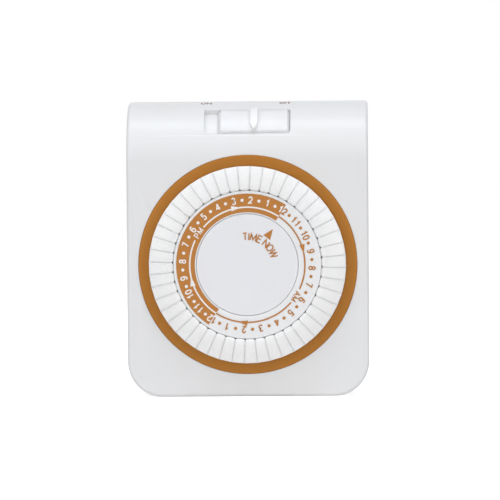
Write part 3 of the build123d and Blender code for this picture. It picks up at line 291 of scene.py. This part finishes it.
def on_slider_slope(edge):
    """Whether an edge is where a slope by the slider's side or lower end meets its outer face."""
    sides = [min(v.co.x - slider_low.x, slider_high.x - v.co.x) - slider_slope for v in edge.verts]
    beside = max(map(abs, sides)) < surface_tolerance
    below = abs(edge.verts[0].co.x - edge.verts[1].co.x) > 1.0 * MM
    return (lies_on(map(spoke, edge.verts), slider_radius) and (beside or below)
            and radians(20) < edge.calc_face_angle(0) < radians(70))


# The edges that get a wider rounding than the rest of their node.
wide_edges = {"front_housing": (on_slot_rim, 0.40 * MM),
              "mode_slider": (on_slider_slope, 0.70 * MM)}

# The radius of each rolled node's outer surface about the roll's axis.
rolled = {"front_housing": roll_radius, "mode_slider": slider_radius}


def modified(mesh, kind, **settings):
    """The mesh with one modifier applied."""
    holder = bpy.data.objects.new("holder", mesh)
    bpy.context.scene.collection.objects.link(holder)
    modifier = holder.modifiers.new(kind, kind)
    for name, value in settings.items():
        setattr(modifier, name, value)
    bpy.context.view_layer.update()
    shaped = holder.evaluated_get(bpy.context.evaluated_depsgraph_get())
    result = bpy.data.meshes.new_from_object(shaped)
    bpy.data.objects.remove(holder)
    return result


# Corners whose shading lies within this of a true normal take it; the rest belong to a sharp edge.
alike = cos(radians(30))


def level_shading(mesh):
    """Shades large faces that are square to an axis as flat, up to the roundings beside them."""
    large_area, square = 1.0 * MM * MM, 0.99999
    normals = [corner.vector.copy() for corner in mesh.corner_normals]
    large = [face for face in mesh.polygons
             if face.area > large_area and max(map(abs, face.normal)) > square]
    flat = {}
    for face in large:
        for vertex in face.vertices:
            flat.setdefault(vertex, []).append(face.normal.copy())
    for i, corner in enumerate(mesh.loops):
        for normal in flat.get(corner.vertex_index, ()):
            if normal.dot(normals[i]) > alike:
                normals[i] = normal
    for face in large:
        for i in face.loop_indices:
            normals[i] = face.normal.copy()
    mesh.normals_split_custom_set(normals)


def roll_shading(mesh, radius):
    """Shades the faces on the roll as a true cylinder, with no seam across its long strips."""
    normals = [corner.vector.copy() for corner in mesh.corner_normals]
    spokes = [spoke(vertex) for vertex in mesh.vertices]
    true = {}
    for face in mesh.polygons:
        ways = [spokes[v] for v in face.vertices]
        if lies_on(ways, radius) and face.normal.dot(ways[0].normalized()) > cos(radians(12)):
            true.update({v: spokes[v].normalized() for v in face.vertices})
    for i, corner in enumerate(mesh.loops):
        normal = true.get(corner.vertex_index)
        if normal and normal.dot(normals[i]) > alike:
            normals[i] = normal
    mesh.normals_split_custom_set(normals)


def close_gaps(form, widen):
    """Brings the tabs' crests nearer their neighbours, so that only a hairline shows between."""
    for vertex in form.verts:
        if -vertex.co.y <= ring_face - crest_depth:
            continue
        across, up = vertex.co.x, vertex.co.z - dial_z
        radius, turn = hypot(across, up), atan2(across, up)
        middle = tab_start + ((turn - tab_start) // tab_pitch + 0.5) * tab_pitch
        beside = radius * sin(turn - middle)
        reach = (widen if beside > 0 else -widen) if abs(beside) > tab_side else 0
        inward = widen if radius * cos(turn - middle) < tab_inner + side_tolerance else 0
        vertex.co.x += reach * cos(middle) - inward * sin(middle)
        vertex.co.z -= reach * sin(middle) + inward * cos(middle)


def close_round_gap(form, radius, widen):
    """Moves a round edge about the dial's axis outwards."""
    for vertex in form.verts:
        out = Vector((vertex.co.x, 0, vertex.co.z - dial_z))
        if abs(out.length - radius) < edge_tolerance:
            vertex.co += out.normalized() * widen


def finished(node, body, slot, material, edge):
    """A copy of a CAD node whose sharp edges are rounded by edge (mm). It stands for that node."""
    weld, same_plane = 0.0005 * MM, radians(0.4)
    rounded_angle, sharp_angle = radians(28), radians(50)
    mesh = frame["nodes"][node].data.copy()
    form = bmesh.new()
    form.from_mesh(mesh)
    bmesh.ops.remove_doubles(form, verts=form.verts, dist=weld)
    bmesh.ops.dissolve_limit(form, angle_limit=same_plane, verts=form.verts, edges=form.edges)
    if node.startswith("tabs_hour_"):
        close_gaps(form, tab_widen)
    for radius, widen in round_edges.get(node, ()):
        close_round_gap(form, radius, widen)
    if node in wide_edges:
        chosen, width = wide_edges[node]
        bmesh.ops.bevel(form, geom=[e for e in form.edges if chosen(e)], offset=width,
                        segments=4, profile=0.5, affect="EDGES", clamp_overlap=True)
    form.to_mesh(mesh)
    form.free()
    smooth = modified(mesh, "BEVEL", width=edge * MM, segments=2, limit_method="ANGLE",
                      angle_limit=rounded_angle, use_clamp_overlap=True, miter_outer="MITER_ARC")
    smooth.shade_smooth()
    smooth.set_sharp_from_angle(angle=sharp_angle)
    smooth = modified(smooth, "WEIGHTED_NORMAL", mode="FACE_AREA", weight=100, keep_sharp=True)
    level_shading(smooth)
    if node in rolled:
        roll_shading(smooth, rolled[node])
    piece = add_object(node + "_finished", smooth, body, slot, material)
    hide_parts(node)


# ---- Materials -------------------------------------------------------------------------------
class Finish:
    """A material, with short calls that add the nodes of its detail."""

    def __init__(self, name, colour, roughness, metallic=0.0):
        self.material = bpy.data.materials.new(name)
        self.material.use_nodes = True
        self.nodes, self.links = self.material.node_tree.nodes, self.material.node_tree.links
        self.shader = self.nodes["Principled BSDF"]
        self.shader.inputs["Base Color"].default_value = (*colour, 1.0)
        self.shader.inputs["Roughness"].default_value = roughness
        self.shader.inputs["Metallic"].default_value = metallic
        self.colour, self.roughness = colour, roughness
        self.place = self.nodes.new("ShaderNodeTexCoord").outputs["Object"]
        self.height = None

    def noise(self, size_mm, detail=2.0, stretch=(1, 1, 1), distortion=0.0):
        """Noise with features of about size_mm; stretch lengthens them along an axis."""
        mapping = self.nodes.new("ShaderNodeMapping")
        mapping.inputs["Scale"].default_value = [1 / s for s in stretch]
        self.links.new(self.place, mapping.inputs["Vector"])
        noise = self.nodes.new("ShaderNodeTexNoise")
        noise.inputs["Scale"].default_value = 1 / (size_mm * MM)
        noise.inputs["Detail"].default_value = detail
        noise.inputs["Distortion"].default_value = distortion
        self.links.new(mapping.outputs["Vector"], noise.inputs["Vector"])
        return noise.outputs["Fac"]

    def ranged(self, value, low, high, start=0.3, end=0.7):
        """The value, mapped from start..end to low..high."""
        ranged = self.nodes.new("ShaderNodeMapRange")
        for socket, number in (("From Min", start), ("From Max", end),
                               ("To Min", low), ("To Max", high)):
            ranged.inputs[socket].default_value = number
        self.links.new(value, ranged.inputs["Value"])
        return ranged.outputs["Result"]

    def vary_roughness(self, value, spread):
        """Takes the roughness a spread up where the value is high, and down where it is low."""
        result = self.ranged(value, self.roughness - spread, self.roughness + spread)
        self.links.new(result, self.shader.inputs["Roughness"])

    def vary_colour(self, value, other, amount):
        """Drifts the colour towards another where the value is high."""
        factor = self.ranged(value, 0.0, amount)
        mix = self.nodes.new("ShaderNodeMix")
        mix.data_type = "RGBA"
        mix.inputs["A"].default_value = (*self.colour, 1.0)
        mix.inputs["B"].default_value = (*other, 1.0)
        self.links.new(factor, mix.inputs["Factor"])
        self.links.new(mix.outputs["Result"], self.shader.inputs["Base Color"])

    def translucent(self, depth_mm):
        """Lets light a little way into the plastic, so that narrow seams don't go black."""
        self.shader.inputs["Subsurface Weight"].default_value = 1.0
        self.shader.inputs["Subsurface Radius"].default_value = (1.0, 1.0, 1.0)
        self.shader.inputs["Subsurface Scale"].default_value = depth_mm * MM

    def bump(self, value, depth_mm):
        """Raises the surface by the value, over the bump that is already there."""
        bump = self.nodes.new("ShaderNodeBump")
        bump.inputs["Strength"].default_value = 1.0
        bump.inputs["Distance"].default_value = depth_mm * MM
        self.links.new(value, bump.inputs["Height"])
        if self.height:
            self.links.new(self.height, bump.inputs["Normal"])
        self.height = bump.outputs["Normal"]
        self.links.new(self.height, self.shader.inputs["Normal"])


def moulded(name, colour, roughness, grain_mm=0.35, grain_depth=0.004, depth=0.0):
    """Moulded plastic: fine spark-eroded grain and slow flow marks, translucent to a depth."""
    yellowed = (0.985, 0.975, 0.955)
    warm = tuple(c * f for c, f in zip(colour, yellowed))
    finish = Finish(name, colour, roughness)
    if depth:
        finish.translucent(depth)
    flow = finish.noise(14.0, 3.0, (1, 1, 2.4), 0.6)
    finish.vary_colour(flow, warm, 0.7)
    finish.vary_roughness(finish.noise(3.0, 4.0), 0.04)
    finish.bump(finish.noise(grain_mm, 2.0), grain_depth)
    finish.bump(flow, 0.02)
    finish.shader.inputs["Specular IOR Level"].default_value = 0.45
    return finish.material


def ink(name, colour, thin):
    """Pad-printed ink: speckled where it is thin, and uneven in its gloss."""
    finish = Finish(name, colour, 0.42)
    finish.vary_colour(finish.noise(0.22, 3.0), thin, 0.35)
    finish.vary_roughness(finish.noise(0.5, 2.0), 0.06)
    finish.bump(finish.noise(0.12, 2.0), 0.0015)
    return finish.material


def lacquer(name, colour, light):
    """Metallic lacquer on plastic: fine flake, soft orange peel and slow unevenness."""
    finish = Finish(name, colour, 0.42, 0.35)
    finish.vary_colour(finish.noise(0.07, 2.0), light, 0.5)
    finish.vary_roughness(finish.noise(2.2, 3.0), 0.06)
    finish.bump(finish.noise(1.1, 2.0), 0.006)
    finish.bump(finish.noise(0.09, 1.0), 0.0015)
    finish.shader.inputs["Specular IOR Level"].default_value = 0.35
    return finish.material


def metal(name, colour, tarnish, roughness, brush=(1, 1, 1), brush_mm=0.12, depth=0.003):
    """Bare metal: fine brushing along one way, and duller, darker patches."""
    finish = Finish(name, colour, roughness, 1.0)
    finish.vary_colour(finish.noise(2.5, 5.0), tarnish, 0.6)
    finish.vary_roughness(finish.noise(1.2, 4.0), 0.05)
    finish.bump(finish.noise(brush_mm, 2.0, brush), depth)
    return finish.material


housing_white = moulded("housing_plastic", (0.79, 0.79, 0.80), 0.34, 0.30, 0.004)
cap_white = moulded("cap_plastic", (0.835, 0.835, 0.86), 0.36, 0.30, 0.003, 0.4)
tab_white = moulded("tab_plastic", (0.90, 0.897, 0.897), 0.34, 0.5, 0.002, 0.5)
ring_white = moulded("ring_plastic", (0.86, 0.86, 0.87), 0.34, 0.3, 0.002, 0.5)
slider_white = moulded("slider_plastic", (0.85, 0.85, 0.865), 0.34, 0.3, 0.003, 2.0)
outlet_white = moulded("outlet_plastic", (0.80, 0.80, 0.80), 0.36, 0.3, 0.004)
nylon = moulded("natural_nylon", (0.76, 0.73, 0.64), 0.45, 0.6, 0.004)
orange_ink = ink("orange_ink", (0.45, 0.168, 0.018), (0.50, 0.215, 0.045))
white_ink = ink("white_ink", (0.86, 0.85, 0.84), (0.76, 0.60, 0.48))
label_ink = ink("label_ink", (0.17, 0.07, 0.06), (0.30, 0.16, 0.13))
copper = lacquer("copper_lacquer", (0.340, 0.128, 0.012), (0.390, 0.155, 0.018))
brass = metal("brass", (0.72, 0.54, 0.25), (0.42, 0.28, 0.13), 0.34, (1, 12, 1))
bronze = metal("spring_bronze", (0.66, 0.40, 0.20), (0.34, 0.19, 0.10), 0.36, (9, 1, 1))
steel = metal("bright_steel", (0.60, 0.60, 0.61), (0.38, 0.38, 0.39), 0.35, (6, 1, 1))
zinc = metal("zinc_plate", (0.62, 0.63, 0.65), (0.42, 0.43, 0.46), 0.40, (1, 1, 1), 0.8, 0.006)
wire = moulded("wire_sleeve", (0.02, 0.02, 0.022), 0.45, 0.2, 0.004)

# ---- Each node's material, and the nodes that get a finer copy -------------------------------
by_slot = {"housing_white": housing_white, "cap_white": cap_white, "slider_white": slider_white,
           "tab_white": tab_white, "outlet_white": outlet_white, "printed_ring": ring_white,
           "bezel_copper": copper, "gear_nylon": nylon, "steel": steel, "spring_steel": steel,
           "screw_steel": zinc, "zinc_steel": zinc, "blade_brass": brass, "strip_brass": brass,
           "bronze": bronze, "wire_black": wire}
slot_of = {part["node"]: part["material_slot"] for part in frame["record"]["subparts"]}
bodies = frame["record"]["behaviour"]["bodies"]
body_of = {node: body for body, nodes in bodies.items() for node in nodes}
# Each finer copy's rounding, in millimetres.
rounded = {"front_housing": 0.12, "rear_cover": 0.12, "centre_cap": 0.10,
           "number_ring": 0.05, "mode_slider": 0.10, "outlet_face": 0.10,
           "hot_blade": 0.08, "neutral_blade": 0.08}
rounded.update({node: 0.05 for node in frame["nodes"] if node.startswith("tabs_hour_")})
for node, piece in frame["nodes"].items():
    material = by_slot[slot_of[node]]
    piece.data.materials.clear()
    piece.data.materials.append(material)
    if node in rounded:
        finished(node, body_of[node], slot_of[node], material, rounded[node])

# The bezel's profile: a crown that falls away outwards, with a tight rounding at each rim.
outer, inner = (bezel_high.x - bezel_low.x) / 2 / MM, 26.9
front, back = -bezel_low.y / MM, -bezel_high.y / MM
turned("dial_bezel", "housing", "bezel_copper", copper,
       [(outer, back), (outer, front - 0.42), (outer - 0.06, front - 0.36),
        (outer - 0.22, front - 0.31), (outer - 1.2, front - 0.20), (outer - 2.4, front - 0.06),
        (inner + 0.22, front), (inner + 0.06, front - 0.05), (inner, front - 0.16),
        (inner, back)])

# ---- Print on the dial -----------------------------------------------------------------------
axis = on_dial(0, 0, ring_face)
band, white_print, orange_print = Flat(), Flat(), Flat()
band.add(*arc_band(midnight, noon + 360, band_inner, band_outer), axis)


def print_on(clockwise):
    """The print and the face depth for a place on the ring: white on the band, else orange."""
    margin = 0.01
    beside = noon + margin < clockwise % 360 < midnight - margin
    return (orange_print, ring_face) if beside else (white_print, ring_face + print_lift)


for step in range(hours):
    angle = noon + hour_step * step
    label = str(12 - step % 12)
    spread = (len(label) - 1) * digit_spacing / 2
    for i, digit in enumerate(label):
        turn = angle - spread + i * digit_spacing
        sheet, face = print_on(turn)
        write(sheet, digit, digit_height, digit_weight, on_dial(digit_radius, turn, face))
    sheet, face = print_on(angle + dot_offset)
    sheet.add(*disc(dot_radius), on_dial(dot_radius_on_dial, angle + dot_offset, face))

line_inner, line_outer = line_radius - line_width / 2, line_radius + line_width / 2
for word, middle in (("PM", midnight + 90), ("AM", noon + 90)):
    sheet, face = print_on(middle)
    for letter, side in zip(word, (-1, 1)):
        turn = middle + side * word_spacing / 2
        write(sheet, letter, word_height, word_weight, on_dial(word_radius, turn, face))
    for start, end in ((middle - 90, middle - word_gap), (middle + word_gap, middle + 90)):
        sheet.add(*arc_band(start, end, line_inner, line_outer), on_dial(0, 0, face))
for tip in white_arrows + orange_arrows:
    sheet, face = print_on(tip)
    sheet.add([(0, 0), (-arrow_length, arrow_width / 2), (-arrow_length, -arrow_width / 2)],
              [[0, 1, 2]], on_dial(line_radius, tip, face), arrow_lift)
band.build("print_band", "dial", "printed_ring", orange_ink)
white_print.build("print_white", "dial", "printed_ring", white_ink)
orange_print.build("print_orange", "dial", "printed_ring", orange_ink)

cap_print = Flat()
for letter, angle in time_now:
    write(cap_print, letter, time_now_height, time_now_weight,
          on_dial(time_now_radius, angle, cap_face))
pointer = [(0, pointer_tip), (-pointer_width / 2, pointer_base), (pointer_width / 2, pointer_base)]
cap_print.add(pointer, [[0, 1, 2]], on_dial(0, pointer_angle, cap_face))
cap_print.build("print_time_now", "housing", "cap_white", orange_ink)

switch_print = Flat()
for word, squeeze, spots in switch_words:
    for letter, spot in zip(word, spots):
        write(switch_print, letter, switch_height, switch_weight,
              on_roll(spot, switch_angle), squeeze)
switch_print.build("print_switch", "housing", "housing_white", label_ink)

# ---- Studio ----------------------------------------------------------------------------------
scene = bpy.context.scene
scene.view_settings.view_transform = "Standard"

image_size, pixels_per_mm = 500, 3.611
camera_distance = 1.25
camera_azimuth, camera_elevation, camera_roll = 1.55, 1.1, 0.45
frame_right, frame_up = 0.65 * MM, -0.41 * MM

face_middle = Vector((0, -front_depth, (top_z + bottom_z) / 2))
away = Vector((sin(radians(camera_azimuth)) * cos(radians(camera_elevation)),
               -cos(radians(camera_azimuth)) * cos(radians(camera_elevation)),
               sin(radians(camera_elevation))))
camera_data = bpy.data.cameras.new("camera")
camera_data.sensor_width = 36.0
camera_data.lens = pixels_per_mm * camera_data.sensor_width * camera_distance * 1000 / image_size
camera = bpy.data.objects.new("camera", camera_data)
scene.collection.objects.link(camera)
target = face_middle + Vector((frame_right, 0, frame_up))
look = (-away).to_track_quat("-Z", "Y").to_matrix().to_4x4()
roll = Matrix.Rotation(radians(-camera_roll), 4, "Z")
camera.matrix_world = Matrix.Translation(target + away * camera_distance) @ look @ roll
scene.camera = camera


def soft_light(name, place, width, height, watts, colour):
    """A rectangular soft box at a place, facing the origin."""
    data = bpy.data.lights.new(name, "AREA")
    data.shape = "RECTANGLE"
    data.size, data.size_y = width, height
    data.energy = watts
    data.color = colour
    light = bpy.data.objects.new(name, data)
    scene.collection.objects.link(light)
    turn = (-Vector(place)).to_track_quat("-Z", "Y").to_matrix().to_4x4()
    light.matrix_world = Matrix.Translation(place) @ turn


soft_light("strip", (0.03, -0.24, 0.99), 0.60, 0.24, 2.3, (0.84, 0.91, 1.0))
soft_light("top", (0.0, 0.17, 1.0), 1.2, 0.5, 0.8, (0.90, 0.95, 1.0))
soft_light("key", (0.0, -1.07, 1.37), 2.4, 1.8, 14.9, (0.97, 0.985, 1.0))
soft_light("side_left", (-1.05, -1.50, 0.30), 0.9, 1.0, 6.0, (1.0, 0.99, 0.98))
soft_light("side_right", (1.05, -1.50, 0.30), 0.9, 1.0, 6.1, (1.0, 0.99, 0.98))


def seen_rays(tree):
    """One for a ray that sees the background, straight on, in a reflection or through glass."""
    nodes, links = tree.nodes, tree.links
    path = nodes.new("ShaderNodeLightPath")
    first, second = nodes.new("ShaderNodeMath"), nodes.new("ShaderNodeMath")
    first.operation = second.operation = "MAXIMUM"
    links.new(path.outputs["Is Camera Ray"], first.inputs[0])
    links.new(path.outputs["Is Glossy Ray"], first.inputs[1])
    links.new(first.outputs[0], second.inputs[0])
    links.new(path.outputs["Is Transmission Ray"], second.inputs[1])
    return second.outputs[0]


def camera_white(tree, shader_output, amount):
    """Adds an amount of white for rays that see the background."""
    nodes, links = tree.nodes, tree.links
    strength = nodes.new("ShaderNodeMath")
    strength.operation = "MULTIPLY"
    strength.inputs[1].default_value = amount
    links.new(seen_rays(tree), strength.inputs[0])
    glow = nodes.new("ShaderNodeEmission")
    links.new(strength.outputs[0], glow.inputs["Strength"])
    both = nodes.new("ShaderNodeAddShader")
    links.new(shader_output, both.inputs[0])
    links.new(glow.outputs[0], both.inputs[1])
    return both.outputs[0]


world = bpy.data.worlds.new("studio")
scene.world = world
world.use_nodes = True
world_nodes, world_links = world.node_tree.nodes, world.node_tree.links
ambient, seen = world_nodes["Background"], world_nodes.new("ShaderNodeBackground")
for background, strength in ((ambient, 0.22), (seen, 1.0)):
    background.inputs["Color"].default_value = (1.0, 1.0, 1.0, 1.0)
    background.inputs["Strength"].default_value = strength
choose = world_nodes.new("ShaderNodeMixShader")
world_links.new(seen_rays(world.node_tree), choose.inputs["Fac"])
world_links.new(ambient.outputs[0], choose.inputs[1])
world_links.new(seen.outputs[0], choose.inputs[2])
world_links.new(choose.outputs[0], world_nodes["World Output"].inputs["Surface"])

floor_mesh = bpy.data.meshes.new("studio_floor")
floor_half, steps = 3.0, 12
row = steps + 1
points = [(floor_half * (2 * i / steps - 1), floor_half * (2 * j / steps - 1), bottom_z)
          for i in range(row) for j in range(row)]
corners = [i * row + j for i in range(steps) for j in range(steps)]
floor_mesh.from_pydata(points, [], [[c, c + row, c + row + 1, c + 1] for c in corners])
studio = Finish("studio_paper", (0.82, 0.82, 0.82), 0.7)
studio.vary_colour(studio.noise(60.0, 3.0), (0.80, 0.80, 0.80), 0.5)
studio.bump(studio.noise(1.5, 3.0), 0.02)
paper = camera_white(studio.material.node_tree, studio.shader.outputs[0], 0.7)
studio.links.new(paper, studio.nodes["Material Output"].inputs["Surface"])
floor = bpy.data.objects.new("studio_floor", floor_mesh)
floor_mesh.materials.append(studio.material)
studio.material.cycles.emission_sampling = "NONE"
scene.collection.objects.link(floor)
